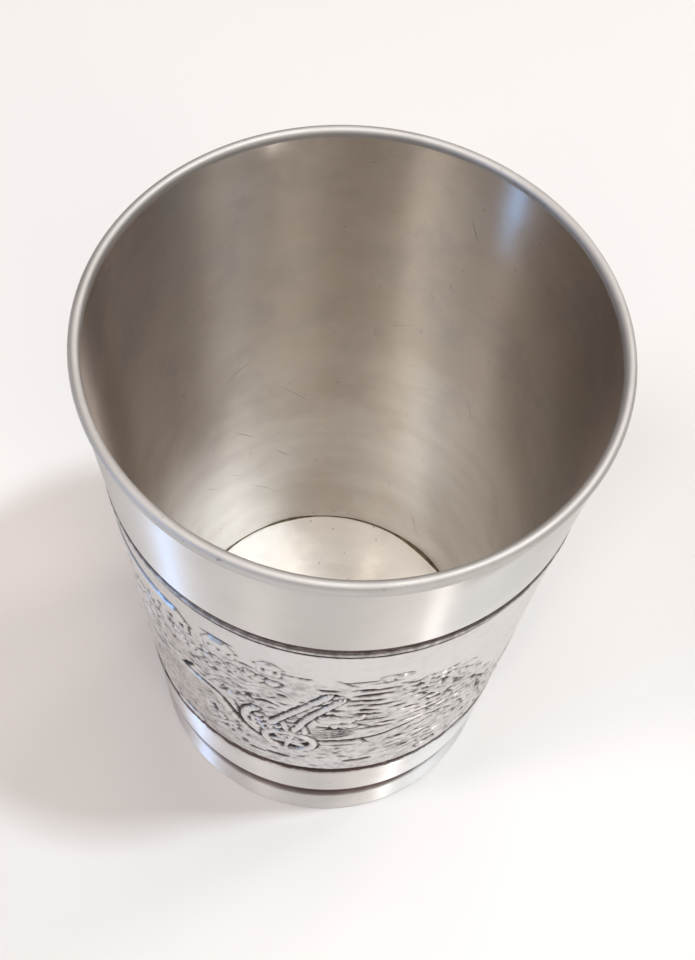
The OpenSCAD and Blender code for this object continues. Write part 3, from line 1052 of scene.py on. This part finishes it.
def wooded_slope(art):
    """The slope that comes down on the right, with bushes, bits of fence and strokes down it."""
    slope = [
        (6.2, 23.4), (9, 21.7), (10.9, 19.6), (12.9, 17), (14.8, 14.2), (16.6, 11.2), (19.5, 7.4), (23.5, 3),
    ]
    art.engrave([(x, v - 0.9) for x, v in slope], 0.26, 0.16, 0.3)
    for x, v in slope[1:6]:
        leaves(art, (x, v - 0.1), (1, 0.8), 8)
    for x, v in ((8.2, 20.1), (9.4, 18.6), (10.8, 16.9)):
        art.rope([(x - 1.3, v + 0.7), (x, v + 0.2), (x + 1.6, v - 0.9)], 0.3, 0.12, 0.14)
        art.rope([(x - 0.4, v - 0.9), (x + 0.4, v + 0.9)], 0.26, 0.12, 0.12)
    for x, v in ((14.3, 11.6), (16.4, 8.7), (18.7, 6.2)):
        leaves(art, (x, v), (1.3, 0.7), 6)
    scribble(art, (7.4, 15.4), (4.6, 6), 26, -0.7, (1.2, 2.8), 0.17, 0.25)
    scribble(art, (11.2, 7), (4.2, 8.4), 30, -0.9, (1.4, 3.2), 0.18, 0.2)
    scribble(art, (14.6, 2), (5.2, 6.4), 26, -0.8, (1.2, 2.8), 0.16, 0.25)
    dashes(art, (9.6, 10.6), (3.4, 4.4), 5, (0.7, 1.4), -0.1)
    dashes(art, (12.8, 4.4), (5.5, 4.8), 4, (0.7, 1.6), -0.15, 0.26, 0.16)
    dashes(art, (13.2, 1), (8.5, 2.2), 2, (0.8, 1.8), -0.08, 0.26, 0.14)


def left_country(art):
    """Beyond the farm building: hills, a mill, firs, a fence and more of the village."""
    hill = [(-55.6, 13), (-52, 16.4), (-47.5, 19), (-43, 18.2), (-38.5, 20.6), (-33.5, 22.6), (-28, 22.2)]
    art.rope(hill, 0.4, 0.10, 0.18)
    art.engrave([(x, v - 1.6) for x, v in hill], 0.28, 0.18, 0.3)
    mill(art, -47.3, 19.3)
    cottage(art, -35.4, 22.4, 3.6, 1.7, 1.5, 3)
    cottage(art, -31, 22.6, 2.4, 1.4, 1.3, 2)
    for x, height in ((-40.6, 4.4), (-39, 5.4), (-37.4, 4)):
        fir(art, x, 19.6, height)
    for x, v in ((-53.6, 12.2), (-50.8, 14.8), (-44.2, 16.4), (-29.2, 19.8)):
        leaves(art, (x, v), (1.3, 1), 10)
    dashes(art, (-51, 9.8), (21, 5.2), 6, (0.8, 2), 0.03)
    shore = [(-55.6, 8.6), (-48, 9), (-41, 8), (-33, 8.7), (-26, 10.2), (-20, 11), (-15.5, 12.4)]
    art.engrave(shore, 0.38, 0.28, 0.2)
    art.rope([(x, v - 0.45) for x, v in shore], 0.32, 0.07, 0.05)
    rowing_boat(art, -37, 11.8, 3.2)
    tree(art, -52.2, 2.4, 6, 2.1)
    tree(art, -29.6, 3, 5.6, 1.9)
    fence(art, -46.6, -35, 3.6, 9)
    for x in (-49.4, -44, -33.6, -31.2, -24.5, -22.6):
        tuft(art, x, art.dice.uniform(1.2, 3), 1.5, 5)
    for x in (-41.6, -38, -26.8):
        art.blob((x, 1.7), (1, 0.5), 0.14, 0.2)
    hatch(art, (-55, 0.8), (33, 6.8), 170)
    hatch(art, (-27, 11.6), (13, 9.6), 90)
    for x, v in ((-25, 17.6), (-21.4, 19.2), (-18, 17), (-15.6, 19.4)):
        leaves(art, (x, v), (1.4, 0.6), 7)
    dashes(art, (-25, 12.6), (10.5, 3.2), 3, (0.7, 1.6), 0.04, 0.26, 0.12)


def right_country(art):
    """Beyond the slope: low ground, and then a rise with firs and a house, round to the back."""
    art.rope([(19.6, 9), (22.4, 9.5), (25.6, 9.1), (28.4, 9.5), (31, 9.2)], 0.36, 0.10, 0.16)
    leaves(art, (24.2, 9.9), (1.5, 0.5), 8)
    fir(art, 27.2, 9.2, 2.6)
    dashes(art, (21.4, 5.6), (7, 3), 4, (0.8, 1.8), 0)
    rise = [(25, 2.6), (29, 6.4), (33.5, 11.2), (38, 14.6), (43, 15.2), (48.5, 13.4), (55.6, 13)]
    art.rope(rise, 0.4, 0.10, 0.18)
    art.engrave([(x + 0.5, v - 1.4) for x, v in rise], 0.28, 0.18, 0.3)
    for x, v, height in ((35.4, 12.6, 5.2), (37.2, 14, 6.2), (50.2, 12.8, 5.6), (52, 12.9, 4.4)):
        fir(art, x, v, height)
    cottage(art, 41.2, 15.2, 4.2, 1.8, 1.7, 3)
    tree(art, 47.2, 13.6, 4.6, 1.7)
    for x, v in ((28.2, 4.2), (31, 7.6), (34, 9.6), (54.4, 11.4)):
        leaves(art, (x, v), (1.3, 0.9), 10)
    dashes(art, (36, 8.4), (18.6, 3.6), 4, (0.8, 2), 0)
    art.engrave([(33, 6.6), (40, 7.6), (48, 7.2), (55.6, 8.4)], 0.38, 0.28, 0.2)
    fence(art, 36, 45.6, 3.2, 8)
    tree(art, 50.4, 1.8, 5, 1.8)
    for x in (27.4, 31.8, 34.2, 47.2, 53.4):
        tuft(art, x, art.dice.uniform(1, 2.4), 1.4, 5)
    for x in (30, 48.9):
        art.blob((x, 1.5), (0.9, 0.45), 0.14, 0.2)
    hatch(art, (26, 0.8), (29, 5.2), 120)


def rough_grass(art):
    """Rough grass and bushes over the open ground at the sides and the back."""
    for corner, size, count in (
        ((-54, 1), (32, 6.6), 150),
        ((-53, 14), (16, 3), 50),
        ((-36, 15.6), (12, 5.4), 70),
        ((26, 1), (28, 5), 120),
        ((34, 9.4), (19, 4.6), 90),
        ((20, 1), (8, 2.6), 30),
    ):
        scribble(art, corner, size, count, 0.4, depth=0.12)


# What is drawn later lies on top, and each group has its own seed for its random draws
FRONT = (village, far_shore, water, hay_cart, near_shore, foreground, rough_ground, wooded_slope)
SIDES_AND_BACK = (left_country, right_country, rough_grass)
PICTURE = ((7, FRONT), (19, SIDES_AND_BACK))


def softened(field, reach):
    """The field averaged over a reach of so many cells, wrapped round the cup."""
    half = math.ceil(3 * reach)
    weights = np.exp(-0.5 * (np.arange(-half, half + 1) / reach) ** 2)
    weights /= weights.sum()
    padded = np.pad(field, ((half, half), (0, 0)), mode="edge")
    down = sum(w * padded[i:i + field.shape[0]] for i, w in enumerate(weights))
    return sum(w * np.roll(down, i - half, axis=1) for i, w in enumerate(weights))


def land(art):
    """How far each place is land or water rather than sky, from 0 to 1, under the skyline."""
    skyline = [
        (-56, 14.0), (-52, 17.0), (-47.5, 19.6), (-43, 19.0), (-38.5, 21.4), (-33.5, 23.4), (-27, 24.0),
        (-26.5, 25.6), (-11, 25.6), (-9.6, 24.2), (-2.5, 24.0), (1.5, 23.6), (6.2, 24.0), (9, 22.6),
        (10.9, 20.6), (12.9, 18.0), (14.8, 15.2), (16.6, 12.2), (19.0, 9.6), (30.5, 9.4), (33.5, 12.0),
        (38, 15.4), (43, 16.0), (48.5, 14.4), (56, 14.0),
    ]
    top = np.interp(art.x, *zip(*skyline))
    return np.clip((top[None, :] - art.v[:, None]) / 1.2, 0, 1)


def relief(art):
    """The picture's height map with a cast surface's grain, and how hidden each place in it is."""
    ground = land(art)
    grain = softened(np.random.default_rng(5).normal(0, 1, ground.shape), 1.1)
    mottle = softened(np.random.default_rng(6).normal(0, 1, ground.shape), 4)
    height = softened(art.height(), 0.6) * 1.2 + 0.035 * grain * ground
    around = softened(height, 4)
    # Antiquing stays in what lies below its surroundings or below the band's plain face
    hidden = np.clip((around - height - 0.01) / 0.20, 0, 1)
    hidden = np.maximum(hidden, np.clip((-height - 0.05) / 0.20, 0, 1))
    # A thin mottled film of it stays on land and water that isn't buffed
    buffed = np.clip((height - around) / 0.10, 0, 1)
    return height, np.clip(hidden + ground * (1 - buffed) * (0.17 + 0.5 * mottle), 0, 1)


def band_edge():
    """The (r, z) points of the groove and the moulding above the picture."""
    groove_z = BAND_TOP - MOULDING_H - 0.5 * GROOVE_W
    groove = arc((band_r(groove_z) + GROOVE_LIFT, groove_z), 0.5 * GROOVE_W, -110, -250, 7)
    moulding_z = BAND_TOP - 0.5 * MOULDING_H
    moulding_r = band_r(moulding_z) - 0.5 * MOULDING_H + MOULDING_RISE
    return np.array(groove + arc((moulding_r, moulding_z), 0.5 * MOULDING_H, -60, 90, 12))


def make_band():
    """The relief band: the picture's height map on the cone, with the groove and the moulding."""
    columns, rows = 900, 232
    art = Canvas(columns, rows)
    for seed, scenes in PICTURE:
        art.dice = random.Random(seed)
        for draw in scenes:
            draw(art)
    height, hidden = relief(art)
    angle = art.x / MEAN_R
    z = BAND_BOTTOM + art.v
    # The bottom edge is rounded in, and both edges are painted dark as shade towards the joint and the
    # groove
    rounding = 0.22 * np.clip((0.3 - art.v) / 0.3, 0, 1) ** 2
    joint_shade = np.clip((0.24 - art.v) / 0.12, 0, 1)
    groove_shade = 0.5 * np.clip((art.v - RELIEF_TOP + 0.25) / 0.25, 0, 1)
    hidden = np.maximum(hidden, np.maximum(joint_shade, groove_shade)[:, None])
    # Further rows carry on over the groove and the moulding, and down the band's inside
    edge = band_edge()
    wobble = Waves(33, 0.018, (9, 50), count=14)(angle, 0)
    edge_shares = [0.6] + [0.74] * 7 + [0.6, 0.5, 0.35] + [0.28] * 5 + [0.4, 0.5, 0.6, 0.7, 0.7]
    inside_z = (BAND_TOP, BAND_BOTTOM)
    inside_r = [seat_r(height) for height in inside_z]
    r = np.vstack([
        band_r(z)[:, None] + height - rounding[:, None],
        edge[:, :1] + wobble,
        all_round(inside_r, columns),
    ])
    z = np.vstack([all_round(z, columns), edge[:, 1:] + 0.6 * wobble, all_round(inside_z, columns)])
    # The antiquing in the hollows and the painted shade at the edges go into one attribute
    patina_and_shade = np.vstack([hidden, all_round(edge_shares, columns), np.ones((2, columns))])
    faces = strip_faces(len(r), columns)
    piece = new_object("landscape_band", turned(r, z, angle), faces, [antique_metal])
    layer = piece.data.attributes.new("patina_and_shade", "FLOAT", "POINT")
    layer.data.foreach_set("value", patina_and_shade.reshape(-1))
    place(piece, "relief_band")


def make_seam():
    """The strip of solder between the band's two ends, filed nearly flush."""
    columns, rows = 9, 140
    half = 0.5 * SEAM_W / MEAN_R
    angle = math.pi + np.linspace(-half, half, columns)
    z = np.linspace(BAND_BOTTOM, BAND_BOTTOM + RELIEF_TOP, rows)
    bulge = 0.05 * np.cos(np.linspace(-1.3, 1.3, columns))
    lumps = Waves(51, 0.05, (1, 3), (0.8, 5.0), 12)(angle[None, :] * 20, z[:, None])
    face = band_r(z)[:, None] - 0.10 + bulge[None, :] + lumps
    r = np.vstack([face, all_round(seat_r(z)[::-1], columns)])
    z = all_round(np.concatenate([z, z[::-1]]), columns)
    faces = strip_faces(len(r), columns)
    piece = new_object("seam_solder", turned(r, z, angle), faces, [joint_solder_metal])
    place(piece, "band_seam_solder")


make_wall()
make_floor()
make_floor_solder()
make_foot()
make_band()
make_seam()
solder_ring("top_joint_solder", "band_top_solder", BAND_TOP, SHOULDER_Z, SHOULDER_R - 0.2, 41)
solder_ring("foot_joint_solder", "foot_solder", RING_TOP, BAND_BOTTOM, foot_joint_high.x + 0.1, 42)

# ---------------------------------------------------------------- the stage


def add_floor():
    """The plain pale table."""
    s = Shader("table_white")
    s.set(Base_Color=(0.845, 0.84, 0.835), Roughness=0.55)
    half = 900
    corners = [(-half, -half, 0), (half, -half, 0), (half, half, 0), (-half, half, 0)]
    new_object("table", corners, [(0, 1, 2, 3)], [s.material], smooth=False)


def add_lamp(name, azimuth, elevation, size, power, colour):
    """A soft lamp that shines at the cup's middle."""
    data = bpy.data.lights.new(name, "AREA")
    data.shape = "RECTANGLE"
    data.size, data.size_y = size
    data.energy = power
    data.color = colour
    light = bpy.data.objects.new(name, data)
    bpy.context.scene.collection.objects.link(light)
    towards = direction(azimuth, elevation)
    light.location = towards * LAMP_DISTANCE + Vector((0, 0, 0.5 * RIM_Z * MM))
    light.rotation_mode = "QUATERNION"
    light.rotation_quaternion = (-towards).to_track_quat("-Z", "Y")


def add_room():
    """The room's own light, dim and warm from all round."""
    dim_warm = (0.12, 0.10, 0.088, 1)
    world = bpy.data.worlds.new("world")
    bpy.context.scene.world = world
    world.use_nodes = True
    world.node_tree.nodes["Background"].inputs["Color"].default_value = dim_warm


# From the middle of the cup, in metres
LAMP_DISTANCE = 1.0
# Name, azimuth and elevation in degrees, size in metres, power in watts, and colour
LAMPS = (
    ("spotlight", 90, 70, (0.07, 0.07), 3.85, (0.86, 0.95, 1.0)),
    ("ceiling", 0, 88, (0.42, 0.42), 2.2, (1.0, 0.95, 0.88)),
    ("wall_front_right", 30, 52, (0.26, 0.48), 1.4, (1.0, 0.86, 0.77)),
    ("wall_front_left", -26, 50, (0.10, 0.40), 1.1, (1.0, 0.92, 0.86)),
    ("wall_left", -66, 52, (0.16, 0.44), 2.1, (1.0, 0.90, 0.85)),
    ("wall_right", 120, 52, (0.14, 0.48), 1.3, (1.0, 0.90, 0.86)),
    ("wall_back_right", 146, 24, (0.22, 0.40), 1.4, (1.0, 0.92, 0.89)),
    ("wall_back", 180, 52, (0.26, 0.48), 0.6, (1.0, 0.84, 0.80)),
    ("side_strip", 36, 3, (0.02, 0.08), 1.0, (1.0, 0.97, 0.95)),
    ("window", -56, 11, (0.06, 0.16), 1.35, (0.20, 0.50, 1.0)),
)

add_floor()
add_room()
for lamp in LAMPS:
    add_lamp(*lamp)
bpy.context.scene.view_settings.view_transform = "Standard"
